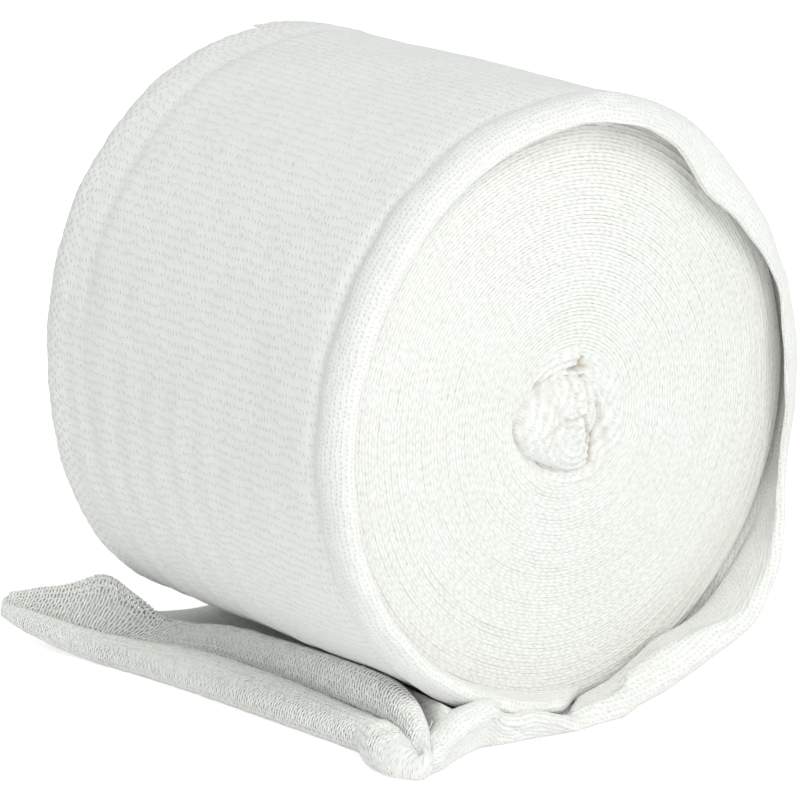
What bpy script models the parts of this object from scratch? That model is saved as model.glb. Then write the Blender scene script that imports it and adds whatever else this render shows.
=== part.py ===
"""Tubular bandage roll lying on its side, with the last turn come loose.

Two solids. "roll" is the wound form: a slightly upright oval cylinder with a
proud lip round one side of its front face, sunk end faces, a shallow groove
behind each rim, a knotted centre and a small flat spot below. "loose_end" is
the last turn of the flat tube: it leaves the top, comes down the right side
with its front edge wavy and bent in, passes under the roll and lies out to
the left, where the cut mouth of the tube is open.

The roll's axis runs along Y with the shown face towards -Y. The origin is on
the surface it lies on, below the middle of the axis. Tables are millimetres.
"""
import math

import bpy
import numpy as np

MM = 0.001

# Wound form
HALF_LENGTH = 60.0          # half the flat width of the tube, which is the roll's length
HALF_WIDTH = 70.6           # the roll is an upright oval, 141 mm wide ...
HALF_HEIGHT = 74.4          # ... and 149 mm tall
FLAT_DEPTH = 0.8            # the flat spot takes this much off the lowest turn
GAP = 0.35                  # clearance between the two solids

# Loose end
TUBE_THICK = 2.2            # both layers of the tube, pressed together
START_THICK = 1.0           # thickness where the loose turn leaves the roll
START_DEG = 80.0            # angle round the axis where it leaves, 90 is the top
FOOT_DEG = -90.0            # angle of the roll's foot
TAPER_DEG = 18.0            # turn over which it reaches full thickness
LEDGE_DEG = 5.0             # turn over which the roll drops to make room for it
BULGE_ROOM = 0.25           # room for the roll's rims under it
BEND_AT = -50.0             # Y where the front edge starts to bend in
BEND_POWER = 3.0            # how sharply it bends
FOLD_SWELL = 0.25           # how far the tube's side folds swell, as a share of their height
WALL = 0.9                  # one layer of the tube, where the mouth opens
POCKET_GAP = 0.4            # space between the layers inside the mouth
POCKET_X = -22.0            # how far in towards the roll the mouth's pocket runs
POCKET_INSET = 1.4          # how far the pocket stays inside the side folds
LIP_FOOT = 2.5              # the lip's outside stands this far behind the crease
LIP_WALL = 1.0              # thickness of the standing lip

AXIS_Z = TUBE_THICK + GAP + HALF_HEIGHT - FLAT_DEPTH
FOOT_STAND = TUBE_THICK + GAP + BULGE_ROOM   # how far the loose turn stands out at the foot
ROUND = 72                  # segments round the roll
CREASE_DEG = 60.0           # edges sharper than this are shaded as edges

# Wound form from the middle of the front face to the middle of the back face.
# share: part of the full radius, y: place along the axis,
# lip_share, lip_y: what the proud lip adds where it stands
ROLL_PROFILE = [
    # share, y, lip_share, lip_y
    (0.045, -57.4, 0.0, 0.0),
    (0.090, -57.2, 0.0, 0.0),
    (0.140, -57.0, 0.0, 0.0),
    (0.190, -57.0, 0.0, 0.0),
    (0.240, -56.8, 0.0, 0.0),
    (0.310, -57.0, 0.0, 0.0),
    (0.420, -57.0, 0.0, 0.0),
    (0.540, -56.7, 0.0, 0.0),
    (0.660, -56.2, 0.0, 0.0),
    (0.770, -55.7, 0.0, 0.0),
    (0.850, -55.3, 0.0, 0.0),
    (0.905, -55.0, 0.0, 0.0),
    (0.930, -54.8, -0.008, -2.4),
    (0.950, -54.5, -0.010, -5.6),
    (0.970, -53.9, -0.006, -6.6),
    (0.985, -53.0, 0.002, -5.6),
    (0.995, -51.8, 0.008, -2.6),
    (0.996, -49.6, 0.000, 0.0),
    (0.999, -46.0, 0.0, 0.0),
    (1.000, -38.0, 0.0, 0.0),
    (0.999, -22.0, 0.0, 0.0),
    (0.998, 0.0, 0.0, 0.0),
    (0.999, 22.0, 0.0, 0.0),
    (1.000, 38.0, 0.0, 0.0),
    (0.997, 47.0, 0.0, 0.0),
    (0.995, 50.5, 0.0, 0.0),
    (1.002, 54.5, 0.0, 0.0),
    (0.998, 57.6, 0.0, 0.0),
    (0.982, 59.6, 0.0, 0.0),
    (0.960, 60.0, 0.0, 0.0),
    (0.935, 58.6, 0.0, 0.0),
    (0.900, 57.2, 0.0, 0.0),
    (0.760, 56.6, 0.0, 0.0),
    (0.520, 57.0, 0.0, 0.0),
    (0.280, 57.2, 0.0, 0.0),
    (0.100, 56.4, 0.0, 0.0),
]
LIP_MIDDLE_DEG = 186.0      # the lip stands this far either way from here ...
LIP_HALF_DEG = 98.0
LIP_FADE_DEG = 14.0         # ... and fades out over this turn

# How the soft roll bulges and sags out of a true oval, at each end of it
UNEVEN = [
    # degrees, front, back
    (-90.0, 0.0, 0.0),
    (-45.0, 0.4, 0.0),
    (-8.0, 1.5, 0.2),
    (20.0, 1.0, 0.2),
    (45.0, 0.4, -0.2),
    (64.0, 1.2, -0.6),
    (100.0, 0.2, 0.2),
    (125.0, 0.0, 0.7),
    (150.0, 0.0, 0.1),
    (183.0, 0.0, -1.1),
    (205.0, 0.0, 0.2),
    (225.0, -0.4, 1.7),
    (245.0, -1.0, 0.2),
    (270.0, 0.0, 0.0),
]

TUFT_REACH, TUFT_FADE = 0.34, 0.1   # shares of the radius where the knot's swelling ends

# The knotted centre: soft lobes that stand off the face, and the creases between them
TUFT_LOBES = [
    # x, z, radius, height
    (-9.0, -2.5, 6.0, 6.0),
    (-1.5, -7.5, 5.0, 4.0),
    (1.5, 3.0, 5.0, 6.5),
    (8.5, -8.0, 4.5, 4.5),
    (2.5, 13.0, 3.5, -4.0),
    (5.5, -14.0, 3.5, -3.0),
]

# Front edge of the loose turn, from the top round the right side to the floor
FRONT_EDGE = [
    # degrees, y, bent_in
    (80.0, -61.0, 5.0),
    (70.0, -61.0, 5.0),
    (65.0, -61.0, 7.0),
    (59.0, -60.5, 9.5),
    (52.0, -60.0, 11.5),
    (43.0, -59.5, 11.0),
    (34.0, -59.5, 9.5),
    (20.0, -60.0, 7.5),
    (8.0, -60.5, 8.5),
    (-6.0, -61.0, 8.0),
    (-16.0, -60.0, 6.0),
    (-22.0, -61.5, 4.5),
    (-30.0, -64.5, 2.5),
    (-38.0, -67.5, 0.8),
    (-48.0, -69.5, 0.5),
    (-58.0, -67.5, 1.0),
    (-67.0, -65.0, 1.0),
    (-76.0, -62.5, 0.5),
]
BACK_Y = 60.5               # back edge of the loose turn
WRAP_STEP_DEG = 6.0
WRAP_END_DEG = -76.0        # below here the tube lies on the floor

# Where the tube lies flat under the roll, from its foot out to the mouth's pocket
UNDER_ROLL = [
    # x, front_y
    (12.5, -62.5),
    (6.0, -62.5),
    (-2.0, -63.0),
    (-9.0, -62.0),
    (-16.0, -60.5),
]

# The mouth of the tube, a row for each place across its width
MOUTH = [
    # across, y, x_out, x_crease, curl, x_lip, z_lip, lift
    (0.00, -66.5, -55.0, -49.0, 8.5, -49.5, 11.0, 0.0),
    (0.05, -61.0, -59.5, -49.0, 9.5, -47.0, 13.5, 0.0),
    (0.11, -53.0, -57.0, -45.0, 8.0, -42.0, 13.5, 0.0),
    (0.20, -41.0, -53.0, -39.5, 5.0, -37.5, 11.5, 0.0),
    (0.34, -21.0, -55.0, -39.0, 5.5, -39.0, 11.0, 0.0),
    (0.50, 2.0, -58.0, -42.5, 5.5, -42.0, 11.5, 0.0),
    (0.65, 23.0, -61.5, -46.5, 5.5, -47.0, 11.0, 0.0),
    (0.78, 43.0, -65.5, -56.0, 5.0, -50.0, 10.5, 0.5),
    (0.89, 59.0, -69.5, -63.5, 5.0, -55.5, 12.5, 2.0),
    (0.96, 70.0, -72.5, -69.0, 3.5, -64.5, 9.0, 4.5),
    (1.00, 76.0, -73.0, -71.5, 2.0, -71.0, 4.5, 6.5),
]
UNDER_FRONT_Y = -59.0       # front edge of the tube where the pocket starts
UNDER_BACK_Y = 60.5

# Loops round the edges of the two layers: how far round the curl, how far up the
# lip, and whether the loop lies on the inside of the mouth
EDGE_LOOPS = [
    # curl_deg, lip_climb, inside
    (40.0, 0.30, 0),
    (80.0, 0.65, 0),
    (120.0, 0.93, 0),
    (165.0, 1.00, 1),
    (215.0, 0.55, 1),
    (260.0, 0.15, 1),
]
OUT_SHARES = (0.0, 0.25, 0.5, 0.75, 1.0)        # loops from the pocket's end to the mouth
BACK_SHARES = (0.96, 0.8, 0.55, 0.28, 0.04)     # loops back inside it

# Places across the width, closer together at the edges where the cloth bends
ACROSS = np.array([0.0, 0.02, 0.045, 0.075, 0.11, 0.15, 0.20, 0.27, 0.34, 0.42,
                   0.50, 0.58, 0.65, 0.72, 0.78, 0.84, 0.89, 0.93, 0.965, 1.0])


def column(table, index):
    """One column of a table as an array."""
    return np.array([row[index] for row in table])


def smooth_step(value):
    """0 below 0, 1 above 1, with level ends."""
    value = np.clip(value, 0.0, 1.0)
    return value * value * (3.0 - 2.0 * value)


def eased(at, places, values):
    """Values read from a table with level joins at its rows, so folds stay rounded."""
    row = np.clip(np.searchsorted(places, at, side="right") - 1, 0, len(places) - 2)
    share = (at - places[row]) / (places[row + 1] - places[row])
    blend = 0.5 * (np.clip(share, 0.0, 1.0) + smooth_step(share))
    return values[row] + (values[row + 1] - values[row]) * blend


def uneven(degrees, y):
    """How far the outline stands off the true oval, by angle and place along the axis."""
    rows = column(UNEVEN, 0)
    front = eased(degrees, rows, column(UNEVEN, 1))
    back = eased(degrees, rows, column(UNEVEN, 2))
    return front + (back - front) * (y / HALF_LENGTH + 1.0) / 2.0


def loose_thickness(degrees):
    """Thickness of the loose turn, thin where it leaves the roll."""
    return START_THICK + (TUBE_THICK - START_THICK) * smooth_step(
        (START_DEG - degrees) / TAPER_DEG)


def loose_stand(degrees):
    """How far the loose turn's outside stands out: none at its start, most at the foot."""
    return FOOT_STAND * np.clip((START_DEG - degrees) / (START_DEG - FOOT_DEG), 0.0, 1.0)


def room_for_loose_turn(degrees):
    """How far the wound form lies inside its outline to make room for the loose turn."""
    room = loose_thickness(degrees) + GAP + BULGE_ROOM - loose_stand(degrees)
    return room * (1.0 - smooth_step((degrees - START_DEG) / LEDGE_DEG))


def walls_between(count, points):
    """Quads that join each closed loop to the next."""
    faces = []
    for ring in range(count - 1):
        for point in range(points):
            step = (point + 1) % points
            faces.append((ring * points + point, ring * points + step,
                          (ring + 1) * points + step, (ring + 1) * points + point))
    return faces


def turned_solid(name, rings, colour, roughness):
    """Solid from a stack of closed loops, each end closed by a fan round its middle."""
    count, points, _ = rings.shape
    middles = rings[[0, -1]].mean(axis=1)
    faces = walls_between(count, points)
    for end, turn in ((0, -1), (count - 1, 1)):
        middle = count * points + (end > 0)
        for point in range(points):
            edge = (end * points + point, end * points + (point + 1) % points)[::turn]
            faces.append((middle, *edge))
    make_object(name, np.concatenate([rings.reshape(-1, 3), middles]), faces, colour, roughness)


def flat_tube_solid(name, rings, colour, roughness):
    """Solid from loops made by with_sides, each end closed straight across the tube."""
    count, points, _ = rings.shape
    across = len(ACROSS)
    faces = walls_between(count, points)
    for end, turn in ((0, -1), (count - 1, 1)):
        for step in range(-1, across):
            quad = (step % points, step + 1, 2 * across - step, 2 * across + 1 - step)
            faces.append(tuple(end * points + corner for corner in quad)[::turn])
    make_object(name, rings.reshape(-1, 3), faces, colour, roughness)


def make_object(name, points, faces, colour, roughness):
    """Smooth-shaded mesh object with its own cloth material, from points in millimetres."""
    mesh = bpy.data.meshes.new(name)
    mesh.from_pydata((points * MM).tolist(), [], faces)
    mesh.validate()
    mesh.shade_smooth()
    mesh.set_sharp_from_angle(angle=math.radians(CREASE_DEG))
    piece = bpy.data.objects.new(name, mesh)
    bpy.context.scene.collection.objects.link(piece)
    material = bpy.data.materials.new(name + "_cotton")
    material.use_nodes = True
    shader = material.node_tree.nodes["Principled BSDF"]
    shader.inputs["Base Color"].default_value = colour
    shader.inputs["Roughness"].default_value = roughness
    shader.inputs["Metallic"].default_value = 0.0
    mesh.materials.append(material)


def tuft_height(x, z):
    """How far the knotted centre stands off the face at a place on it."""
    height = np.zeros_like(x)
    for lobe_x, lobe_z, radius, rise in TUFT_LOBES:
        away = ((x - lobe_x) ** 2 + (z - lobe_z) ** 2) / radius ** 2
        height += rise * np.exp(-away)
    return height


def roll():
    """The wound form: its profile turned round the oval, with lip, tuft and flat spot."""
    degrees = FOOT_DEG + np.arange(ROUND) * 360.0 / ROUND
    angle = np.radians(degrees)
    from_middle = np.abs((degrees - LIP_MIDDLE_DEG + 180.0) % 360.0 - 180.0)
    lip = 1.0 - smooth_step((from_middle - LIP_HALF_DEG) / LIP_FADE_DEG)
    rings = []
    for share, y, lip_share, lip_y in ROLL_PROFILE:
        reach = share + lip_share * lip
        off_oval = uneven(degrees, y) - room_for_loose_turn(degrees)
        x = (HALF_WIDTH + off_oval) * reach * np.cos(angle)
        z = (HALF_HEIGHT + off_oval) * reach * np.sin(angle)
        face_y = y + lip_y * lip
        if y < 0.0:
            face_y = face_y - tuft_height(x, z) * smooth_step((TUFT_REACH - share) / TUFT_FADE)
        z = np.maximum(z + AXIS_Z, TUBE_THICK + GAP)
        rings.append(np.stack([x, face_y, z], axis=-1))
    back_to_front = np.array(rings)[::-1]       # in this order the faces point out
    turned_solid("roll", back_to_front, (0.90, 0.89, 0.86, 1.0), 0.9)


def with_sides(lower, upper):
    """One loop from a lower and an upper line across the tube, its folds rounded.

    Each fold gets two points between the layers, pushed out along Y by a share
    of the distance between them.
    """
    def fold(start, end, direction):
        space = np.linalg.norm(end - start)
        points = start + (end - start) * np.array([[0.3], [0.7]])
        points[:, 1] += direction * FOLD_SWELL * space
        return points
    return np.concatenate([lower, fold(lower[-1], upper[-1], 1.0),
                           upper[::-1], fold(upper[0], lower[0], -1.0)])


def wrapped_rings():
    """Loops of the flat tube where it lies round the right side of the roll."""
    steps = round((START_DEG - WRAP_END_DEG) / WRAP_STEP_DEG)
    degrees = np.linspace(START_DEG, WRAP_END_DEG, steps + 1)[:, None]
    rows = column(FRONT_EDGE, 0)[::-1]
    front = eased(degrees, rows, column(FRONT_EDGE, 1)[::-1])
    bent_in = eased(degrees, rows, column(FRONT_EDGE, 2)[::-1])
    y = front + ACROSS[None, :] * (BACK_Y - front)
    thick = loose_thickness(degrees)

    bend = np.clip((BEND_AT - y) / (BEND_AT - front), 0.0, 1.0) ** BEND_POWER
    standing = uneven(degrees, y) + loose_stand(degrees) - thick / 2 - bent_in * bend
    angle = np.radians(degrees) + 0.0 * y
    middle = np.stack([(HALF_WIDTH + standing) * np.cos(angle), y,
                       (HALF_HEIGHT + standing) * np.sin(angle) + AXIS_Z], axis=-1)
    along = np.gradient(middle, axis=0)
    sideways = np.gradient(middle, axis=1)
    outward = np.cross(along, sideways)
    outward /= np.linalg.norm(outward, axis=-1, keepdims=True)
    outer = middle + outward * thick[..., None] / 2
    inner = middle - outward * thick[..., None] / 2
    outer[..., 2] = np.maximum(outer[..., 2], 0.0)
    inner[..., 2] = np.maximum(inner[..., 2], TUBE_THICK)
    return [with_sides(low, high) for low, high in zip(outer, inner)]


def level_rings():
    """Loops of the tube where it lies flat on the floor under the roll."""
    rings = []
    for x, front_y in UNDER_ROLL:
        y = front_y + ACROSS * (UNDER_BACK_Y - front_y)
        lower = np.stack([np.full_like(y, x), y, np.zeros_like(y)], axis=-1)
        rings.append(with_sides(lower, lower + (0.0, 0.0, TUBE_THICK)))
    return rings


def drawn_in(points):
    """The same line drawn in at both ends, for the inside of the mouth."""
    middle = (points[0, 1] + points[-1, 1]) / 2
    half = (points[-1, 1] - points[0, 1]) / 2
    moved = points.copy()
    moved[:, 1] = middle + (points[:, 1] - middle) * (half - POCKET_INSET) / half
    return moved


def mouth_rings():
    """Loops of the open end: out along both layers, round their edges, and back inside.

    The lower layer curls up into a flat roll with its edge lying in the crease.
    The upper layer turns up from the crease into a standing lip.
    """
    places = column(MOUTH, 0)
    y, x_out, x_crease, curl, x_lip, z_lip, lift = (
        eased(ACROSS, places, column(MOUTH, index)) for index in range(1, 8))
    under_y = UNDER_FRONT_Y + ACROSS * (UNDER_BACK_Y - UNDER_FRONT_Y)
    half_curl = (x_crease - x_out) / 2
    curl_x = x_out + half_curl
    rise = TUBE_THICK + POCKET_GAP
    level = np.zeros_like(y)

    def line(x, z, out):
        return np.stack([x, under_y + (y - under_y) * smooth_step(out), z + lift * out ** 2],
                        axis=-1)

    rings = []
    for share in OUT_SHARES:
        lower = line(POCKET_X + share * (curl_x - POCKET_X), level, share)
        upper = line(POCKET_X + share * (x_crease + LIP_FOOT - POCKET_X), level + rise, share)
        rings.append(with_sides(lower, upper))
    for curl_deg, climb, inside in EDGE_LOOPS:
        turned = math.radians(curl_deg)
        lower_x = curl_x - half_curl * math.sin(turned)
        lower_z = curl / 2 * (1.0 - math.cos(turned))
        foot_x = x_crease + LIP_FOOT - LIP_WALL * inside
        foot_z = rise - inside * LIP_WALL / 2
        tip_x = x_lip + LIP_WALL * (0.5 - inside)
        if inside:
            lower_z = np.maximum(lower_z, WALL + POCKET_GAP)
        lower = line(lower_x, lower_z, 1.0)
        upper = line(foot_x + (tip_x - foot_x) * climb, foot_z + (z_lip - foot_z) * climb, 1.0)
        if inside:
            lower, upper = drawn_in(lower), drawn_in(upper)
        rings.append(with_sides(lower, upper))
    for share in BACK_SHARES:
        x = POCKET_X + share * (x_crease - POCKET_X)
        lower = drawn_in(line(x, level + WALL, share))
        upper = drawn_in(line(x, level + WALL + POCKET_GAP, share))
        rings.append(with_sides(lower, upper))
    return rings


def loose_end():
    """The last turn and the open end of the tube, as one solid."""
    rings = np.array(wrapped_rings() + level_rings() + mouth_rings())
    mouth_to_start = rings[::-1]                # in this order the faces point out
    flat_tube_solid("loose_end", mouth_to_start, (0.92, 0.92, 0.90, 1.0), 0.9)


def main():
    for thing in list(bpy.context.scene.objects):
        bpy.data.objects.remove(thing, do_unlink=True)
    roll()
    loose_end()


main()
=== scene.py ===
# %% [markdown]
# # A tubular bandage roll
# A knitted cotton tube is pressed flat and wound into a thick roll. Its last turn has come
# loose on the right side, passes under the roll and lies out to the left with its cut mouth
# open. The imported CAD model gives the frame: every piece below is worked out in the same
# place, replaces one of its two soft solids, and rides on its one body.

# %% Load the frame
import math

import bmesh
import bpy
import numpy as np
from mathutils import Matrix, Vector


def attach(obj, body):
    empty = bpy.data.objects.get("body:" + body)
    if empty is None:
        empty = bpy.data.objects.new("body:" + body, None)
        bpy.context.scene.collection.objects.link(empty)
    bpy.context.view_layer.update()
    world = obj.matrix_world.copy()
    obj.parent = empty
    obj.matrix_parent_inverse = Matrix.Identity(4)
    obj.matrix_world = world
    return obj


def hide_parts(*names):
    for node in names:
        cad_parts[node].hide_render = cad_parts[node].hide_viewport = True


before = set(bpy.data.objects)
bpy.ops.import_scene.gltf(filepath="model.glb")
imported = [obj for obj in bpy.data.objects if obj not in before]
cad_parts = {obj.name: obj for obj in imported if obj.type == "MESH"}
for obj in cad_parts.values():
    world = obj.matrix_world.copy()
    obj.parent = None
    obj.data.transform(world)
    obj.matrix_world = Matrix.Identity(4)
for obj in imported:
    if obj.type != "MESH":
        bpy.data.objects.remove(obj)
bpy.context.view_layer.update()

# %% [markdown]
# ## The measures of the roll
# Tables are millimetres and degrees, and `MM` turns them into metres when a mesh is made.
# The roll's axis runs along Y, with the shown face towards -Y. Angles go round the axis:
# 90 is the top, 0 the right side, -90 the foot on the floor.

# %% Measures shared by all the pieces
MM = 0.001
HALF_LENGTH = 60.0                      # half the width of the flat tube
HALF_WIDTH, HALF_HEIGHT = 70.6, 74.4    # the wound form is an oval, taller than wide
FLAT_DEPTH = 0.8                        # flat spot at the foot
TUBE_THICK, START_THICK, GAP = 2.2, 1.0, 0.35
AXIS_Z = TUBE_THICK + GAP + HALF_HEIGHT - FLAT_DEPTH
START_DEG, FOOT_DEG, TAPER_DEG, LEDGE_DEG = 80.0, -90.0, 18.0, 5.0
BULGE_ROOM = 0.25
SKIN_DEG, SKIN = 94.0, 0.12             # the loose turn blends into the side as a thin skin
FOOT_STAND = TUBE_THICK + GAP + BULGE_ROOM
COURSE, WALE = 2.33, 1.3                # one stitch: along the tube, and across it
COURSES_ROUND = 196                     # stitches round the outside of the roll
TURN = 0.88                             # one turn of flattened tube

# How the soft roll bulges and sags out of a true oval, at each end of it
UNEVEN = np.array([
    # degrees, front, back
    (-90.0, 0.0, 0.0), (-45.0, 0.4, 0.0), (-8.0, 1.5, 0.2), (20.0, 1.0, 0.2),
    (45.0, 0.4, -0.2), (64.0, 1.2, -0.6), (100.0, 0.2, 0.2), (125.0, 0.0, 0.7),
    (150.0, 0.0, 0.1), (183.0, 0.0, -1.1), (205.0, 0.0, 0.2), (225.0, -0.4, 1.7),
    (245.0, -1.0, 0.2), (270.0, 0.0, 0.0),
])

# %% [markdown]
# ## Reading shapes from tables
# A fold of cloth is easiest to describe by a few places along it. `read_table` draws a
# smooth curve through such places, and `ripple` adds the small unevenness that no hand-made
# winding is without. Both work on whole arrays.


# %% Curves through tables, and gentle unevenness
def smooth_step(value):
    """0 below 0 and 1 above 1; between them 3t^2 - 2t^3, so both ends are level."""
    value = np.clip(value, 0.0, 1.0)
    return value * value * (3.0 - 2.0 * value)


def bump_at(value, middle, width):
    """A bell of height 1: e to the minus squared distance over squared width."""
    return np.exp(-((value - middle) / width) ** 2)


def stack(*coordinates):
    """An array of points from their coordinates, each stretched to the shape of all."""
    return np.stack(np.broadcast_arrays(*coordinates), axis=-1)


def unit(vectors):
    """Vectors brought to length 1."""
    return vectors / (np.linalg.norm(vectors, axis=-1, keepdims=True) + 1e-9)


def way_along(points, axis=0):
    """How far each point is from the first one, measured from point to point."""
    steps = np.linalg.norm(np.diff(points, axis=axis), axis=-1)
    return np.insert(np.cumsum(steps, axis=axis), 0, 0.0, axis=axis)


def hermite(t, span, start, end, start_slope, end_slope):
    """Cubic curve from start to end with the given slopes, while t goes from 0 to 1."""
    level = smooth_step(t)
    return (start * (1 - level) + end * level
            + span * t * (1 - t) * (start_slope * (1 - t) - end_slope * t))


def read_table(at, places, values):
    """Hermite curve through the rows, its slopes taken from the neighbours."""
    slopes = np.gradient(values, places)
    row = np.clip(np.searchsorted(places, at, side="right") - 1, 0, len(places) - 2)
    span = places[row + 1] - places[row]
    t = np.clip((at - places[row]) / span, 0.0, 1.0)
    return hermite(t, span, values[row], values[row + 1], slopes[row], slopes[row + 1])


def from_table(at, table, column):
    """One column of a table as a smooth curve over its first column."""
    return read_table(at, table[:, 0], table[:, column])


def ripple(points, wave, seed, waves=9):
    """Smooth noise from -1 to 1: a mean of cosine waves in seeded directions, wave mm long."""
    draw = np.random.default_rng(seed)
    ways = unit(draw.normal(size=(waves, points.shape[-1])))
    turns = 2 * np.pi / (wave * draw.uniform(0.7, 1.5, waves))
    starts = draw.uniform(0, 2 * np.pi, waves)
    return np.cos(points @ (ways * turns[:, None]).T + starts).sum(-1) / math.sqrt(waves / 2) / 2


def uneven(degrees, y):
    """How far the outline stands off the true oval, blended from front to back."""
    front, back = (from_table(degrees, UNEVEN, i) for i in (1, 2))
    return front + (back - front) * (y / HALF_LENGTH + 1.0) / 2.0


def loose_thickness(degrees):
    """Thickness of the loose turn, thin where it leaves the roll."""
    return START_THICK + (TUBE_THICK - START_THICK) * smooth_step(
        (START_DEG - degrees) / TAPER_DEG) - (START_THICK - SKIN) * smooth_step(
        (degrees - START_DEG) / 5.0)


def loose_stand(degrees):
    """How far the loose turn's outside stands out: none at its start, most at the foot."""
    return FOOT_STAND * np.clip((START_DEG - degrees) / (START_DEG - FOOT_DEG), 0.0, 1.0)


def room_for_loose_turn(degrees):
    """How far the wound form lies inside its outline to make room for the loose turn."""
    room = loose_thickness(np.minimum(degrees, START_DEG)) + GAP + BULGE_ROOM
    room = room - loose_stand(degrees)
    return room * (1.0 - smooth_step((degrees - START_DEG) / LEDGE_DEG))


def on_oval(degrees, reach, y, stand=0.0):
    """Points at a share of the oval's radius: share times half axis times cosine and sine."""
    angle = np.radians(degrees)
    return stack((HALF_WIDTH + stand) * reach * np.cos(angle), y,
                 AXIS_Z + (HALF_HEIGHT + stand) * reach * np.sin(angle))


# %% [markdown]
# ## From a grid of points to a mesh
# Each surface is a grid: rows go one way, columns the other. The UV map holds millimetres
# measured along the cloth, so one knit pattern fits every piece at its true size.


# %% Mesh makers
def link_object(name, data):
    """An object in the scene, at the origin."""
    made = bpy.data.objects.new(name, data)
    bpy.context.scene.collection.objects.link(made)
    return made


def link_mesh(name, points, faces, uv, corners):
    """Smooth mesh from points in mm; corners gives each face corner's row in uv."""
    faces, corners = np.asarray(faces), np.asarray(corners)
    first, *others = [points[faces[:, i]] for i in range(faces.shape[1])]
    # the triangles' triple products add up to six times the volume in mm3
    volume = sum((np.cross(a, b) * first).sum() for a, b in zip(others, others[1:])) / 6000
    if volume < 0:
        faces, corners = faces[:, ::-1], corners[:, ::-1]
    mesh = bpy.data.meshes.new(name)
    mesh.from_pydata(points * MM, [], faces)
    layer = mesh.uv_layers.new(name="cloth_mm")
    layer.uv.foreach_set("vector", uv[corners.ravel()].astype(np.float32).ravel())
    mesh.shade_smooth()
    mesh.update()
    triangles = len(faces) * (faces.shape[1] - 2)
    print(f"{name}: {triangles} triangles, {abs(volume):.1f} cm3")
    return link_object(name, mesh)


def grid_faces(rows, columns, wrap_columns=False):
    """Corner numbers of the quads of a grid; wrapped, its last column joins its first."""
    r = np.arange(rows - 1)[:, None]
    c = np.arange(columns if wrap_columns else columns - 1)[None, :]
    near, far = r * columns, (r + 1) * columns
    after = (c + 1) % columns
    return stack(near + c, near + after, far + after, far + c).reshape(-1, 4)


def turned_piece(name, rings, uv):
    """Closed body from stacked rings, each end drawn to one middle point.

    uv has one column more than the rings, because the last column meets the first
    again with its measure one full way round.
    """
    rows, columns, _ = rings.shape
    ends = np.repeat(rings[[0, -1]].mean(axis=1, keepdims=True), columns, axis=1)
    rings = np.concatenate([ends[:1], rings, ends[1:]])
    uv = np.concatenate([uv[:1], uv, uv[-1:]])
    faces = grid_faces(rows + 2, columns, wrap_columns=True)
    corners = grid_faces(rows + 2, columns + 1)
    piece = link_mesh(name, rings.reshape(-1, 3), faces, uv.reshape(-1, 2), corners)
    weld_poles(piece)
    return piece


def weld_poles(piece):
    """Merge the points that lie on each other at the two middles."""
    work = bmesh.new()
    work.from_mesh(piece.data)
    bmesh.ops.remove_doubles(work, verts=work.verts, dist=1e-7)
    work.to_mesh(piece.data)
    work.free()
    piece.data.shade_smooth()


def mesh_points(piece):
    """The piece's points in mm."""
    points = np.empty(len(piece.data.vertices) * 3)
    piece.data.vertices.foreach_get("co", points)
    return points.reshape(-1, 3) / MM


# %% [markdown]
# ## The camera
# It looks down a little on the front and the left side from about a metre away through a
# long lens, which keeps the roll's outline nearly free of perspective.

# %% Camera
AZIMUTH, ELEVATION = math.radians(-38.0), math.radians(16.25)
DISTANCE, LENS, SENSOR = 1.091, 202.5, 36.0
AIM_RIGHT, AIM_UP = -4.82, -9.07        # mm from the roll's axis to the middle of the view

back = Vector((math.sin(AZIMUTH) * math.cos(ELEVATION),
               -math.cos(AZIMUTH) * math.cos(ELEVATION), math.sin(ELEVATION)))
right = Vector((math.cos(AZIMUTH), math.sin(AZIMUTH), 0.0))
aim = (Vector((0.0, 0.0, AXIS_Z)) + AIM_RIGHT * right + AIM_UP * back.cross(right)) * MM
camera_data = bpy.data.cameras.new("camera")
camera_data.lens, camera_data.sensor_width = LENS, SENSOR
camera = link_object("camera", camera_data)
camera.location = aim + DISTANCE * back
camera.rotation_euler = back.to_track_quat("Z", "Y").to_euler()
bpy.context.scene.camera = camera

# %% [markdown]
# ## The knit as a node group
# Plain jersey is a lattice of stitches. Each stitch is a loop of yarn with two legs and a
# small hole, 2.3 mm along the tube and 1.3 mm across it. The same pattern shows on the side,
# the rim, the face and the loose end, only more or less open, so it is one group. It reads
# the piece's UV in millimetres and gives the height of the yarn and the depth of the holes.


# %% Node helpers
def add_math(tree, operation, first, second=0.0, third=0.0):
    """A Math node on two or three values or sockets; returns its result."""
    node = tree.nodes.new("ShaderNodeMath")
    node.operation = operation
    for socket, value in zip(node.inputs, (first, second, third)):
        feed(tree, socket, value)
    return node.outputs[0]


def feed(tree, socket, value):
    """Link a socket into an input, or set the input to a plain value."""
    if isinstance(value, bpy.types.NodeSocket):
        tree.links.new(value, socket)
    else:
        socket.default_value = value


def add_ramp(tree, value, low, high, out_low=0.0, out_high=1.0):
    """Smooth step from low to high, as a Map Range node."""
    node = tree.nodes.new("ShaderNodeMapRange")
    node.interpolation_type = "SMOOTHSTEP"
    for socket, number in zip(node.inputs, (value, low, high, out_low, out_high)):
        feed(tree, socket, number)
    return node.outputs[0]


def add_noise(tree, scale, detail, place):
    """A Noise texture, read at a vector socket."""
    noise = tree.nodes.new("ShaderNodeTexNoise")
    noise.inputs["Scale"].default_value = scale
    noise.inputs["Detail"].default_value = detail
    tree.links.new(place, noise.inputs["Vector"])
    return noise


def add_attribute(tree, name):
    """The number stored for each point under a name."""
    node = tree.nodes.new("ShaderNodeAttribute")
    node.attribute_name = name
    return node.outputs["Fac"]


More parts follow.
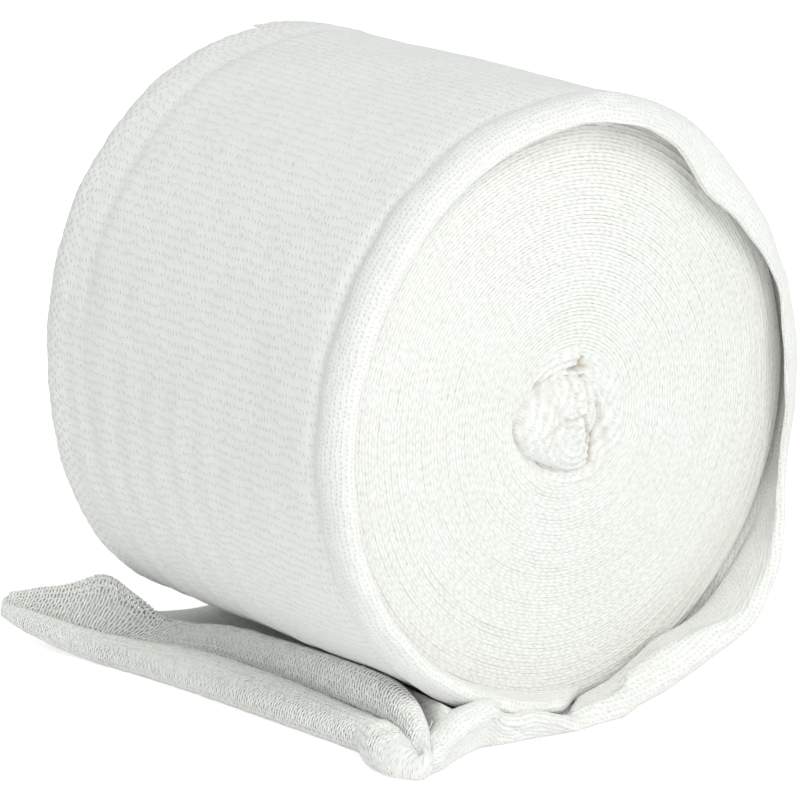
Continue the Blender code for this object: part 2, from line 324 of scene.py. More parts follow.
def parts_of(tree, kind, source):
    """The three parts of a colour or a vector."""
    node = tree.nodes.new(kind)
    tree.links.new(source, node.inputs[0])
    return node.outputs


def new_group(name, inputs, outputs):
    """A shader node group with named number or vector sockets."""
    group = bpy.data.node_groups.new(name, "ShaderNodeTree")
    for label, kind, value in inputs:
        socket = group.interface.new_socket(label, in_out="INPUT", socket_type=kind)
        if value is not None:
            socket.default_value = value
    for label, kind in outputs:
        group.interface.new_socket(label, in_out="OUTPUT", socket_type=kind)
    return group, group.nodes.new("NodeGroupInput").outputs, group.nodes.new(
        "NodeGroupOutput").inputs


# %% The stitches
WANDER_SCALE, STRAY = 0.22, 4.0         # waves per mm, and stitches astray at a wander of 1
HOLE_EDGE, HOLE_END = 0.45, 1.25        # a hole fades out between these, in its own widths
LEG_OFF, LEG_LEAN, LEG_WIDE = 0.25, 0.14, 0.2   # shares of a stitch's width
FLOAT, VECTOR = "NodeSocketFloat", "NodeSocketVector"
stitches, given, result = new_group("jersey_stitches", [
    ("Cloth mm", VECTOR, None), ("Course", FLOAT, COURSE), ("Wale", FLOAT, None),
    ("Stagger", FLOAT, None), ("Hole length", FLOAT, None), ("Hole width", FLOAT, None),
    ("Wander", FLOAT, 0.25), ("Slant", FLOAT, None), ("Double", FLOAT, None)],
    [("Height", FLOAT), ("Hole", FLOAT), ("Cell", FLOAT)])

wander = add_noise(stitches, WANDER_SCALE, 2.0, given["Cloth mm"])
wander.noise_dimensions = "2D"
wander_parts = parts_of(stitches, "ShaderNodeSeparateColor", wander.outputs["Color"])
cloth_parts = parts_of(stitches, "ShaderNodeSeparateXYZ", given["Cloth mm"])


def stitch_math(operation, *values):
    """A Math node in this group."""
    return add_math(stitches, operation, *values)


def strayed(index, pitch):
    """A coordinate counted in stitches, led astray a little by the noise."""
    straight = stitch_math("DIVIDE", cloth_parts[index], given[pitch])
    stray = stitch_math("SUBTRACT", wander_parts[index], 0.5)
    most = stitch_math("MULTIPLY", given["Wander"], STRAY)
    return stitch_math("MULTIPLY_ADD", stray, most, straight)


across = strayed(1, "Wale")
column = stitch_math("FLOOR", across)
odd = stitch_math("PINGPONG", column, 1.0)
along = stitch_math("MULTIPLY_ADD", odd, given["Stagger"], strayed(0, "Course"))
row = stitch_math("FLOOR", along)
cell = stitches.nodes.new("ShaderNodeCombineXYZ")
stitches.links.new(column, cell.inputs[0])
stitches.links.new(row, cell.inputs[1])
chance = stitches.nodes.new("ShaderNodeTexWhiteNoise")
chance.noise_dimensions = "2D"
stitches.links.new(cell.outputs[0], chance.inputs["Vector"])
chance_parts = parts_of(stitches, "ShaderNodeSeparateColor", chance.outputs["Color"])


def from_middle(value, whole, index):
    """Place inside the stitch from -0.5 to 0.5, shifted by chance."""
    inside = stitch_math("SUBTRACT", value, whole)
    shift = stitch_math("MULTIPLY", chance_parts[index], given["Wander"])
    centred = stitch_math("SUBTRACT", inside, 0.5)
    return stitch_math("ADD", centred, stitch_math("MULTIPLY_ADD", given["Wander"], -0.5, shift))


up = from_middle(along, row, 0)
plain_side = from_middle(across, column, 1)
side = stitch_math("MULTIPLY_ADD", up, given["Slant"], plain_side)
# where the knit is open, the gap between two stitches shows as a second hole
single_up = stitch_math("ABSOLUTE", up)
double_up = stitch_math("PINGPONG", up, 0.25)
nearer = stitch_math("SUBTRACT", double_up, single_up)
hole_up = stitch_math("DIVIDE", stitch_math("MULTIPLY_ADD", nearer, given["Double"], single_up),
                      given["Hole length"])
hole_side = stitch_math("DIVIDE", side, given["Hole width"])
distance = stitch_math("SQRT", stitch_math("ADD", stitch_math("MULTIPLY", hole_up, hole_up),
                                           stitch_math("MULTIPLY", hole_side, hole_side)))
size = stitch_math("MULTIPLY_ADD", chance_parts[2], 0.5, 0.75)
hole = add_ramp(stitches, stitch_math("DIVIDE", distance, size), HOLE_EDGE, HOLE_END, 1.0, 0.0)

# two legs of yarn in each stitch, spread wider at its top than at its foot
leg_place = stitch_math("MULTIPLY_ADD", up, LEG_LEAN, LEG_OFF)
leg_off = stitch_math("ABSOLUTE", stitch_math("SUBTRACT", stitch_math("ABSOLUTE", side), leg_place))
leg = add_ramp(stitches, leg_off, 0.0, LEG_WIDE, 1.0, 0.0)
swell = add_ramp(stitches, stitch_math("ABSOLUTE", up), 0.25, 0.5, 1.0, 0.35)
yarn = stitch_math("MULTIPLY", leg, swell)
height = stitch_math("MULTIPLY_ADD", hole, -1.0, stitch_math("MULTIPLY_ADD", yarn, 0.6, 0.4))
stitches.links.new(height, result["Height"])
stitches.links.new(hole, result["Hole"])
stitches.links.new(chance_parts[0], result["Cell"])
print("jersey_stitches:", len(stitches.nodes), "nodes")

# %% [markdown]
# ## The cotton materials
# Bleached cotton is a matt, slightly warm white. Between the yarns light bounces from thread
# to thread, so the holes look cream-grey rather than black, and the material paints that shade
# into them. Where the cloth is pressed flat its stitches close up in straight rows, and where it
# is loose or stretched over an edge they open and shift against each other. A point attribute,
# `openness`, tells the material which; `sheer` says where they open into a net, and a third
# where a crease or an overhung edge is in shade, which is painted into the colour too.


# %% Cotton
# SHADE is the colour of the painted shade in holes and creases; the tone's random unevenness mixes
# towards it too.
SHADE = (0.52, 0.47, 0.37)              # light that has bounced about between the yarns
# NET_DARKER is painted shade added to the net's holes.
NET_LONGER, NET_WIDER, NET_DARKER = 0.11, 0.03, 0.12    # what the net adds to its holes
SHIFT = 0.25                            # of every other column in open cloth, in stitches
TONE_SCALE, FIBRE_SCALE = 45.0, 2600.0  # waves per metre
FIBRE_RELIEF, DRIFT = 0.3, 0.10         # height against the yarn's, and the tone's unevenness


def cotton(name, light, relief_mm, closed, opened, wale=WALE):
    """A jersey material, from the colour of its yarn and the depth of its relief.

    closed and opened give (hole length, hole width, painted shade in the hole, slant) of the
    stitches. In the net the holes are longer, wider and get more painted shade, and every other
    column is shifted by twice as much as in open cloth, half a stitch.
    """
    material = bpy.data.materials.new(name)
    material.use_nodes = True
    tree = material.node_tree
    shader = tree.nodes["Principled BSDF"]
    uv = tree.nodes.new("ShaderNodeUVMap")
    uv.uv_map = "cloth_mm"
    loose, painted_shade, net = (add_attribute(tree, label) for label in ("openness", "painted_shade", "sheer"))
    group = tree.nodes.new("ShaderNodeGroup")
    group.node_tree = stitches
    tree.links.new(uv.outputs[0], group.inputs["Cloth mm"])

    def between(tight, open_knit):
        """The first value where the cloth is closed, the second where it is open."""
        return add_math(tree, "MULTIPLY_ADD", loose, open_knit - tight, tight)

    def with_net(more, plain):
        """A value that grows in the net."""
        return add_math(tree, "MULTIPLY_ADD", net, more, plain)

    holes = [between(*pair) for pair in zip(closed, opened)]
    feed(tree, group.inputs["Hole length"], with_net(NET_LONGER, holes[0]))
    feed(tree, group.inputs["Hole width"], with_net(NET_WIDER, holes[1]))
    feed(tree, group.inputs["Slant"], holes[3])
    feed(tree, group.inputs["Stagger"], with_net(SHIFT, between(0.0, SHIFT)))
    feed(tree, group.inputs["Double"], add_math(tree, "SUBTRACT", loose, net))
    feed(tree, group.inputs["Wale"], wale)

    place = tree.nodes.new("ShaderNodeTexCoord")
    tone = add_noise(tree, TONE_SCALE, 4.0, place.outputs["Object"])
    fibre = add_noise(tree, FIBRE_SCALE, 2.0, place.outputs["Object"])

    # Painted shade: the holes, darker still in the net, and the shaded creases and edges mix the
    # yarn's colour towards SHADE; the tone's noise and each stitch's chance add the cotton's own
    # unevenness.
    hole_dark = with_net(NET_DARKER, holes[2])
    dark = add_math(tree, "MULTIPLY_ADD", group.outputs["Hole"], hole_dark, painted_shade)
    slow = add_math(tree, "MULTIPLY_ADD", tone.outputs[0], DRIFT, dark)
    shade_and_tone = add_math(tree, "MULTIPLY_ADD", group.outputs["Cell"], DRIFT * 0.7, slow)
    mix = tree.nodes.new("ShaderNodeMix")
    mix.data_type = "RGBA"
    mix.inputs["A"].default_value = (*light, 1.0)
    mix.inputs["B"].default_value = (*SHADE, 1.0)
    tree.links.new(shade_and_tone, mix.inputs["Factor"])
    tree.links.new(mix.outputs["Result"], shader.inputs["Base Color"])

    relief = tree.nodes.new("ShaderNodeBump")
    relief.inputs["Strength"].default_value = 1.0
    relief.inputs["Distance"].default_value = relief_mm * MM
    tree.links.new(add_math(tree, "MULTIPLY_ADD", fibre.outputs[0], FIBRE_RELIEF,
                            group.outputs["Height"]), relief.inputs["Height"])
    tree.links.new(relief.outputs[0], shader.inputs["Normal"])
    for label, value in (("Roughness", 0.95), ("Sheen Weight", 0.25), ("Sheen Roughness", 0.6),
                         ("Specular IOR Level", 0.25)):
        shader.inputs[label].default_value = value
    return material


outer_cotton = cotton(
    "outer_cotton", (0.88, 0.885, 0.87), 0.10,
    closed=(0.17, 0.22, 0.19, 0.25), opened=(0.125, 0.29, 0.21, 0.0))
face_cotton = cotton(
    "face_cotton", (0.85, 0.855, 0.835), 0.07,
    closed=(0.24, 0.24, 0.19, 0.45), opened=(0.2, 0.3, 0.3, 0.0), wale=TURN)
knot_cotton = cotton(
    "knot_cotton", (0.86, 0.865, 0.85), 0.09,
    closed=(0.18, 0.24, 0.15, 0.4), opened=(0.2, 0.3, 0.3, 0.0), wale=0.8)
# Painted light: the loops are the same cotton as the rest, given a whiter colour to brighten the
# open mesh where the loops shade one another.
yarn_cotton = cotton(
    "yarn_cotton", (0.985, 0.99, 0.975), 0.05,
    closed=(0.3, 0.3, 0.2, 0.8), opened=(0.3, 0.3, 0.2, 0.8))


def paint(piece, name, values):
    """Store one number for each point of a piece, for its material to read."""
    layer = piece.data.attributes.new(name, "FLOAT", "POINT")
    layer.data.foreach_set("value", np.asarray(values, dtype=np.float32).ravel())


# %% [markdown]
# ## The wound side and its rims
# The outermost turn makes the side. Its two folded edges stand a little proud as rims, with a
# soft groove behind each, and the front rim rolls over the face as a rounded lip. One closed
# body of stacked rings does it all: a profile from the front to the back, carried round the
# oval, with the dents and troughs of soft cloth added to its radius.

# %% Wound side
PROFILE = np.array([
    # share of the radius, y, and what the lip adds to each where it stands
    (0.300, -51.0, 0.0, 0.0), (0.880, -52.6, 0.0, 0.0), (0.905, -53.6, 0.0, 0.0),
    (0.922, -54.6, -0.004, -1.2), (0.932, -54.9, -0.008, -3.4), (0.942, -54.8, -0.012, -5.0),
    (0.955, -54.5, -0.012, -6.0), (0.970, -53.9, -0.006, -6.6), (0.984, -53.0, 0.001, -5.9),
    (0.994, -52.0, 0.008, -4.3), (0.998, -50.8, 0.009, -2.4), (0.997, -49.6, 0.004, -0.6),
    (0.997, -48.2, 0.0, 0.0), (0.999, -45.0, 0.0, 0.0), (1.000, -38.0, 0.0, 0.0),
    (0.999, -22.0, 0.0, 0.0), (0.998, 0.0, 0.0, 0.0), (0.999, 20.0, 0.0, 0.0),
    (1.000, 36.0, 0.0, 0.0), (0.999, 44.0, 0.0, 0.0), (0.997, 49.0, 0.0, 0.0),
    (1.000, 53.0, 0.0, 0.0), (1.001, 56.0, 0.0, 0.0), (0.996, 58.4, 0.0, 0.0),
    (0.984, 59.8, 0.0, 0.0), (0.966, 60.0, 0.0, 0.0), (0.948, 59.2, 0.0, 0.0),
    (0.925, 57.2, 0.0, 0.0), (0.900, 54.6, 0.0, 0.0), (0.300, 54.0, 0.0, 0.0),
])
PROFILE_STEPS = [1, 1, 2, 4, 4, 4, 4, 4, 4, 4, 4, 3, 4, 7, 14, 18, 18, 14, 7, 5, 5, 4, 4, 4,
                 4, 4, 3, 2, 1]         # rings between each row of the profile and the next
LIP_MIDDLE_DEG, LIP_HALF_DEG, LIP_FADE_DEG = 176.0, 89.0, 10.0
PER_COURSE = 3                          # points along each stitch of the outside
FRONT_GROOVE_Y, BACK_GROOVE_Y = -49.6, 43.5
TROUGH, TROUGH_PITCH = 0.32, 10.5       # mm, soft hollows round the roll's lower left


def lip_at(degrees):
    """1 where the front lip stands, fading out over the loose turn's side."""
    away = np.abs((degrees - LIP_MIDDLE_DEG + 180.0) % 360.0 - 180.0)
    return 1.0 - smooth_step((away - LIP_HALF_DEG) / LIP_FADE_DEG)


def side_detail(points, degrees, y):
    """What grooves, troughs and dents add to the radius, in mm."""
    low_left = bump_at(degrees, 212.0, 32.0)
    front_groove = -bump_at(y, FRONT_GROOVE_Y, 1.9) * (0.20 + 0.85 * bump_at(degrees, 190.0, 62.0))
    back_groove = -0.55 * bump_at(y, BACK_GROOVE_Y + 2.0 * np.sin(np.radians(degrees)), 2.6)
    slanting = 1.2 * np.sin(np.radians(degrees) * 3)
    troughs = TROUGH * np.sin(2 * np.pi * y / TROUGH_PITCH + slanting)
    troughs = troughs * low_left * smooth_step((y + 30.0) / 30.0)
    inner = smooth_step((58.0 - np.abs(y)) / 6.0)
    return (front_groove + back_groove + troughs
            + 0.30 * ripple(points, 34.0, 3) * inner + 0.10 * ripple(points, 9.0, 4)
            + 0.14 * ripple(points, 3.0, 6) * smooth_step((y - 47.0) / 6.0))


def paint_rims(piece, y, on_roll=True, elsewhere=0.0):
    """Open stitches towards both rims and the sheer net on the back one, where the cloth lies
    on the roll; elsewhere gives the openness of the rest.
    """
    rims = np.maximum(smooth_step((-49.0 - y) / 2.5), smooth_step((y - 47.0) / 8.0))
    paint(piece, "openness", np.where(on_roll, rims, elsewhere))
    paint(piece, "sheer", on_roll * smooth_step((y - 50.0) / 5.0))


row_places = np.concatenate([np.linspace(i, i + 1, steps, endpoint=False)
                             for i, steps in enumerate(PROFILE_STEPS)] + [[len(PROFILE) - 1]])
share, base_y, lip_share, lip_y = (
    read_table(row_places, np.arange(len(PROFILE)), PROFILE[:, i])[:, None] for i in range(4))
degrees = np.arange(COURSES_ROUND * PER_COURSE) * 360.0 / (COURSES_ROUND * PER_COURSE) - 90.0
lip = lip_at(degrees)
reach, y = share + lip_share * lip, base_y + lip_y * lip
smooth = on_oval(degrees, reach, y)
stand = uneven(degrees, y) - room_for_loose_turn(degrees) + side_detail(smooth, degrees, y)
rings = on_oval(degrees, reach, y + 0.35 * ripple(smooth, 16.0, 5) * lip, stand)
rings[..., 2] = np.maximum(rings[..., 2], TUBE_THICK + GAP)
round_mm = COURSES_ROUND * COURSE * np.linspace(0.0, 1.0, len(degrees) + 1)
along_profile = way_along(stack(share + lip_share, base_y + lip_y)[:, 0] * (HALF_WIDTH, 1.0))
wound_side = turned_piece("wound_side", rings, stack(round_mm, along_profile[:, None]))
paint_rims(wound_side, mesh_points(wound_side)[:, 1])
print("profile length", round(float(along_profile[-1])), "mm")

# %% [markdown]
# ## The wound faces
# Seen from its end, the roll is one long folded edge wound into a spiral. So each face is
# really a rounded strip carried along a spiral: a small arch of points, one turn wide, swept
# from the middle outwards. Neighbouring turns leave the fine dark lines between them, and a
# slow ripple lets some turns stand a little prouder than others.

# %% Wound faces
FACE = np.array([
    # share of the radius, distance of the face from the middle of the roll
    (0.00, 56.0), (0.14, 56.2), (0.24, 56.8), (0.42, 57.0), (0.54, 56.7), (0.66, 56.2),
    (0.77, 55.7), (0.85, 55.3), (0.93, 54.9), (0.97, 54.0), (1.00, 52.5),
])
MEAN_RADIUS = (HALF_WIDTH + HALF_HEIGHT) / 2
OUTER_TURN = 70.9                       # mm, the radius at which the spiral ends
FACE_FOLLOW = 3.0                       # the inner turns take ever less of the outline's bulges
TOGETHER, APART = 4.0, 24.0             # mm a turn in the noise turns share, and in their own


def wound_face(name, side, turns, per_turn, arch, seed):
    """A strip carried along a spiral; its radius grows one turn's thickness each time round.

    arch holds (across, height) in mm for the points of the strip's closed section.
    """
    turn = np.arange(turns * per_turn + 1)[:, None] / per_turn
    degrees = START_DEG - 360.0 * turn
    first = OUTER_TURN - TURN * turns
    arc_mm = 2 * np.pi * (first * turn + TURN * turn ** 2 / 2)
    level = np.concatenate([turn * TOGETHER, arc_mm], axis=-1)
    single = np.concatenate([turn * APART, arc_mm], axis=-1)
    proud = (0.12 * ripple(level, 30.0, seed) + 0.03 * ripple(single, 13.0, seed + 1))[:, None]
    stray = (0.02 * ripple(single, 9.0, seed + 2))[:, None]
    radius = first + TURN * turn + arch[:, 0] + stray
    reach = radius / MEAN_RADIUS
    angle = (degrees + 90.0) % 360.0 - 90.0
    y = side * (from_table(reach, FACE, 1) + arch[:, 1] + proud)
    room = sum(room_for_loose_turn(angle + shift) for shift in (-12, -8, -4, 0, 4, 8, 12)) / 7
    stand = (uneven(angle, y) - room) * reach ** FACE_FOLLOW
    rings = on_oval(angle, reach, y) + stack(
        stand * np.cos(np.radians(angle)), 0.0, stand * np.sin(np.radians(angle)))
    across = np.append(arch[:, 0], arch[0, 0]) + TURN * turn + TURN / 2
    return turned_piece(name, rings, stack(arc_mm, across))


FRONT_ARCH = np.array([(-0.04, 0.0), (0.24, 0.05), (0.64, 0.05), (0.92, 0.0),
                       (0.70, -1.6), (0.18, -1.6)])
BACK_ARCH = np.array([(-0.02, -0.08), (0.44, 0.22), (0.90, -0.08), (0.44, -1.6)])
front_face = wound_face("front_face", -1.0, 65, 210, FRONT_ARCH, 20)
back_face = wound_face("back_face", 1.0, 76, 144, BACK_ARCH, 40)
from_middle_mm = mesh_points(front_face) - (0.0, 0.0, AXIS_Z)
out_share = np.hypot(from_middle_mm[:, 0], from_middle_mm[:, 2]) / MEAN_RADIUS
out_angle = np.degrees(np.arctan2(from_middle_mm[:, 2], from_middle_mm[:, 0]))
# Painted shade: the face's outermost turns are tinted towards tan at the lower right and at the top,
# where the loose turn and the lip overhang them.
paint(front_face, "painted_shade", 0.16 * smooth_step((out_share - 0.76) / 0.17)
      * np.maximum(bump_at(out_angle, -40.0, 70.0), bump_at(out_angle, 80.0, 30.0)))
wound_mm = np.pi * MEAN_RADIUS ** 2 / TURN
print("cloth wound in the roll:", round(wound_mm / 1000, 1), "m")

# %% [markdown]
# ## The knotted centre
# The inner end of the tube is pulled out and tucked into a soft knot. It is a mound with
# steep rounded sides, and the tucks are drawn into it: each crease and each crescent is a
# short line with its own width and depth, taken off the mound's height or added to it.

# %% Knotted centre
KNOT_MIDDLE = (-5.0, -1.0)
KNOT_OUTLINE = np.array([
    # direction in degrees from the mound's middle, its reach, its height there
    (-180.0, 13.2, 6.4), (-168.0, 12.6, 6.4), (-143.0, 11.0, 6.2), (-114.0, 9.9, 6.0),
    (-90.0, 10.6, 5.6), (-65.0, 13.6, 4.8), (-46.0, 14.6, 4.0), (-22.0, 12.2, 5.0),
    (5.0, 12.0, 6.0), (27.0, 12.8, 6.0), (50.0, 12.4, 5.8), (65.0, 11.7, 5.8),
    (89.0, 10.3, 5.8), (108.0, 9.7, 6.0), (129.0, 10.2, 6.3), (156.0, 12.4, 6.4),
    (180.0, 13.2, 6.4),
])
CREASES = np.array([
    # x, z from the axis to x, z, width, depth at its start and at its end
    (-11.0, 8.0, -6.6, 1.8, 1.3, 0.4, 0.6), (-6.6, 1.8, -3.9, -0.2, 0.9, 0.6, 0.9),
    (-3.9, -0.2, 1.2, 0.3, 0.6, 0.9, 0.7), (-16.0, -4.6, -9.6, -2.6, 1.0, 0.2, 0.7),
    (-9.6, -2.6, -6.4, -0.4, 0.9, 0.7, 0.8), (-9.6, -2.6, -5.6, -8.4, 0.9, 0.5, 0.2),
    (-7.4, 7.6, -5.0, 2.0, 0.6, 0.4, 0.2), (-4.4, 9.0, -3.0, 1.0, 0.7, 0.5, 0.3),
    (-1.8, 9.4, -0.8, 0.8, 0.7, 0.8, 0.5), (3.2, 8.6, 3.0, -0.4, 0.8, 0.9, 0.6),
    (-3.0, -2.2, 1.4, -7.4, 0.7, 0.3, 0.6), (1.2, 0.3, 3.6, -4.6, 0.7, 0.8, 1.3),
    (3.6, -4.6, 2.6, -11.0, 0.7, 1.3, 0.6),
    (6.9, 1.6, 5.4, -5.3, 0.9, 1.2, 3.4), (5.4, -5.3, 5.6, -12.4, 1.0, 3.4, 1.6),
    (-0.4, 10.8, 3.4, 11.0, 0.8, 1.0, 2.0), (3.4, 11.0, 7.4, 9.8, 0.7, 1.6, 0.3),
    (2.8, 11.4, 4.6, 15.6, 0.8, 2.2, 0.3), (-10.6, -10.2, -4.8, -12.6, 0.8, 1.0, 0.5),
    (-18.7, -1.5, -15.6, -7.6, 0.9, 2.4, 2.2), (-15.6, -7.6, -10.4, -10.4, 0.9, 2.2, 1.4),
    (-18.7, -1.5, -18.2, 3.6, 0.9, 2.4, 2.6), (-18.2, 3.6, -13.6, 8.0, 1.0, 2.4, 1.6),
    (-13.6, 8.0, -6.0, 9.8, 0.9, 1.4, 0.6),
    (8.6, 1.6, 10.4, -6.4, 1.5, -1.2, -2.2), (10.4, -6.4, 12.6, -13.4, 1.5, -2.2, -0.6),
    (12.4, 2.6, 14.0, -5.0, 1.5, -0.3, -1.1), (14.0, -5.0, 14.2, -12.0, 1.5, -1.1, -0.2),
    (6.0, 7.4, 10.2, 3.0, 1.6, -1.5, -0.8), (-2.0, -16.2, 6.8, -15.4, 1.4, -0.5, -1.0),
    (6.8, -15.4, 12.0, -11.8, 1.4, -1.0, -0.3), (-4.0, 13.4, 1.6, 14.8, 1.4, -0.5, -0.9),
])
KNOT_RADIUS, KNOT_FADE = 24.0, 9.0
KNOT_RISE = 0.72                        # share of the outline's heights
KNOT_FOOT = 56.8                        # from the roll's middle to the face it rises from
KNOT_BOTTOM_Y = -52.0                   # its hidden side, inside the roll
PLEAT, PLEAT_PITCH = 0.22, 1.76         # mm, the innermost turns that show round the mound
# The next two numbers set the painted shade in the knot's creases: the depth at which it is
# strongest, and how strong.
DARK_DEPTH, DARK = 1.8, 0.7             # a crease this deep is as dark as any, and how dark
HIDDEN = slice(None, None, -45)         # every 45th ring again, from the outermost inwards


def knot_height(x, z):
    """Height of the mound, H times the square root of 1 - (r / R)^3, less all the creases.

    A crease takes off its depth times e to the minus squared distance over squared width.
    """
    dx, dz = x - KNOT_MIDDLE[0], z - KNOT_MIDDLE[1]
    direction = np.degrees(np.arctan2(dz, dx))
    outer, rise = (from_table(direction, KNOT_OUTLINE, i) for i in (1, 2))
    full = np.clip(np.hypot(dx, dz) / outer, 0.0, 1.0)
    height = KNOT_RISE * rise * np.sqrt(1.0 - full ** 3)
    raised, tucked = np.zeros_like(x), np.zeros_like(x)
    for x0, z0, x1, z1, width, start, end in CREASES:
        long_x, long_z = x1 - x0, z1 - z0
        t = ((x - x0) * long_x + (z - z0) * long_z) / (long_x ** 2 + long_z ** 2)
        t = np.clip(t, 0.0, 1.0)
        away = np.hypot(x - x0 - t * long_x, z - z0 - t * long_z)
        depth = (start + (end - start) * t) * bump_at(away, 0.0, width)
        raised, tucked = np.maximum(raised, -depth), np.maximum(tucked, depth)
    return height + raised - tucked, tucked


ring_mm = np.concatenate([np.linspace(0.2, 15.5, 96), np.linspace(15.7, KNOT_RADIUS + 5, 40)])
ring_mm = ring_mm[:, None]
ring_deg = np.linspace(0.0, 360.0, 300, endpoint=False)[None, :]
knot_x = ring_mm * np.cos(np.radians(ring_deg)) + KNOT_MIDDLE[0]
knot_z = ring_mm * np.sin(np.radians(ring_deg)) + KNOT_MIDDLE[1]
from_axis = np.hypot(knot_x, knot_z)
edge = smooth_step((from_axis - KNOT_RADIUS + KNOT_FADE) / KNOT_FADE)
pleats = PLEAT * np.cos(2 * np.pi * from_axis / PLEAT_PITCH + 2.0 * np.sin(np.radians(ring_deg) * 2))
flat_place = stack(knot_x, knot_z)
height, tucked = knot_height(knot_x, knot_z)
knot_y = -(KNOT_FOOT + height + 0.30 * ripple(flat_place, 7.0, 61)
           + 0.11 * ripple(flat_place, 1.8, 60) + pleats * (1 - edge) - 2.0 * edge)
top = stack(knot_x, knot_y, knot_z + AXIS_Z)
under = top[HIDDEN].copy()
under[..., 1] = KNOT_BOTTOM_Y
knot_rings = np.concatenate([top, under])
knot_uv = stack(0.87 * knot_x - 0.5 * knot_z, 0.5 * knot_x + 0.87 * knot_z)
knot_uv = np.concatenate([knot_uv, knot_uv[HIDDEN]])
knot_uv = np.concatenate([knot_uv, knot_uv[:, :1]], axis=1)
knotted_centre = turned_piece("knotted_centre", knot_rings, knot_uv)
# Painted shade: each point of the knot is darkened towards tan by the depth of the crease it lies
# in; the hidden underside gets none.
tucked = np.concatenate([tucked, 0 * tucked[HIDDEN]])
paint(knotted_centre, "painted_shade", np.pad(DARK * smooth_step(tucked / DARK_DEPTH).ravel(), 1))

# %% [markdown]
# ## The loose turn
# The last turn leaves the roll at the top, comes down the right side with its front edge
# waving and bent in over the face, passes under the roll and lies out to the left. It is a
# flat tube: a lower and an upper layer joined by a fold at each side. Each ring goes once
# round the tube, and the rings follow the cloth from its start to the mouth and back inside.

# %% Tables of the loose turn
FRONT_EDGE = np.array([
    # degrees, y of the front edge, how far it is bent in
    (-76.0, -62.5, 0.5), (-67.0, -65.0, 1.0), (-58.0, -67.5, 1.0), (-48.0, -69.5, 0.5),
    (-38.0, -67.5, 0.8), (-30.0, -64.5, 2.5), (-22.0, -61.5, 4.5), (-16.0, -60.0, 6.0),
    (-6.0, -61.0, 8.0), (8.0, -60.5, 8.5), (20.0, -60.0, 7.5), (34.0, -59.5, 9.5),
    (43.0, -59.5, 11.0), (52.0, -60.0, 11.5), (59.0, -60.5, 9.5), (65.0, -61.0, 7.0),
    (71.0, -61.2, 5.9), (78.0, -61.2, 5.3), (86.0, -60.2, 5.2), (94.0, -58.6, 5.0),
])
PUFF = np.array([
    # degrees, and how far the front fold is puffed
    (-88.0, 5.4), (-76.0, 6.4), (-70.0, 7.6), (-65.0, 7.6), (-60.0, 6.2), (-54.0, 4.4),
    (-47.0, 3.0), (-40.0, 1.8), (-33.0, 0.8), (-24.0, 0.0), (94.0, 0.0),
])
LEVEL_PUFF = np.array([
    # x where it lies level under the roll, and how far the front fold is puffed
    (-60.0, 5.0), (-50.0, 6.0), (-43.0, 6.4), (-37.0, 4.8), (-31.0, 3.2), (-25.0, 1.8),
    (-18.0, 1.4), (-10.0, 1.4), (-4.0, 2.2), (4.0, 3.8), (12.5, 6.0), (20.0, 6.4),
])
UPTURN = np.array([
    # x, y of the line it turns up from, the angle it turns by, how far it goes beyond
    (-70.0, -66.0, 20.0, 0.0), (-54.0, -64.5, 45.0, 1.0), (-49.0, -63.5, 70.0, 5.0),
    (-44.0, -62.8, 78.0, 6.8), (-40.0, -60.8, 70.0, 9.4), (-36.0, -59.2, 64.0, 11.4),
    (-31.0, -57.6, 60.0, 13.6), (-28.0, -57.0, 60.0, 13.2), (-24.5, -57.6, 62.0, 9.6),
    (-21.0, -58.6, 66.0, 8.2), (-16.0, -59.2, 66.0, 8.2), (-12.0, -60.0, 64.0, 7.0),
    (-7.0, -61.2, 60.0, 4.6), (0.0, -62.4, 40.0, 0.6), (5.0, -62.6, 30.0, 0.0),
    (20.0, -62.6, 30.0, 0.0),
])
BEND_RADIUS = 3.0
MOUTH = np.array([
    # across, y, x_out, x_crease, curl, x_top, z_top, thick, lift, solid
    (0.00, -65.0, -54.0, -50.5, 6.5, -49.5, 8.0, 2.0, 0.0, 1.0),
    (0.04, -61.5, -57.0, -49.5, 9.0, -48.5, 11.5, 3.5, 0.0, 1.0),
    (0.11, -52.0, -57.0, -46.0, 9.5, -45.5, 14.5, 4.5, 0.0, 1.0),
    (0.17, -44.0, -53.0, -43.0, 7.5, -44.5, 16.2, 4.5, 0.0, 1.0),
    (0.23, -36.0, -53.5, -42.5, 7.0, -44.5, 16.4, 4.0, 0.0, 1.0),
    (0.34, -21.0, -55.5, -43.5, 7.4, -43.5, 15.2, 4.0, 0.0, 1.0),
    (0.50, 2.0, -58.5, -44.5, 7.2, -42.5, 12.9, 4.0, 0.0, 1.0),
    (0.65, 23.0, -61.5, -47.5, 6.8, -43.0, 10.8, 4.0, 0.0, 1.0),
    (0.75, 38.0, -64.0, -53.5, 6.2, -45.5, 8.4, 3.5, 0.0, 1.0),
    (0.79, 44.5, -65.8, -56.5, 5.8, -47.5, 8.6, 2.0, 0.3, 0.9),
    (0.83, 50.5, -67.2, -59.5, 5.4, -51.0, 13.0, 1.2, 0.8, 0.82),
    (0.88, 57.5, -69.2, -62.5, 5.0, -55.5, 16.0, 1.0, 1.8, 0.80),
    (0.92, 63.5, -71.0, -66.0, 4.6, -61.0, 11.6, 1.0, 3.2, 0.84),
    (0.96, 70.0, -72.5, -69.0, 3.8, -65.5, 8.4, 1.0, 4.7, 0.9),
    (1.00, 76.0, -73.0, -71.5, 2.2, -70.5, 4.8, 0.8, 6.5, 1.0),
])
